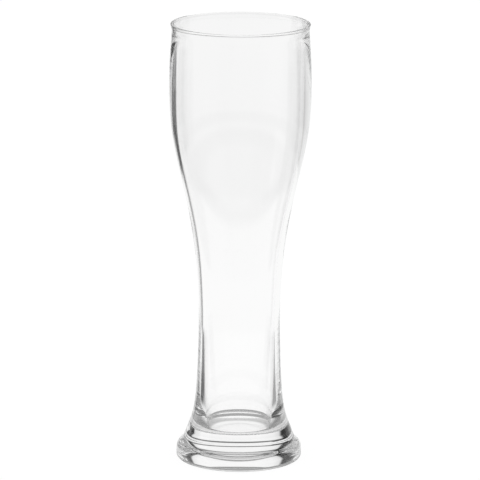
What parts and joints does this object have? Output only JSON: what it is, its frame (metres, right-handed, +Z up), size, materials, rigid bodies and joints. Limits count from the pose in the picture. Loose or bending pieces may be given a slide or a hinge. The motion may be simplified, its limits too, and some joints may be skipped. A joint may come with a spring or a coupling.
{
  "type": "weizen glass",
  "caption": "Tall clear beer glass: wide bulb with a plain rim, slim waist, flared heavy foot and a long tapering cavity.",
  "frame": {"origin": "centre of the ring that the glass stands on, on the table", "axes": "+Z up along the axis of the glass, from the foot to the rim; X and Y are any two level directions, because the glass is round"},
  "size_m": [0.0797, 0.0796, 0.25],
  "materials": {
    "clear_glass": "clear colourless glass, polished, smooth inside and out"
  },
  "bodies": {
    "root": {"glass": "clear_glass"}
  },
  "joints": []
}
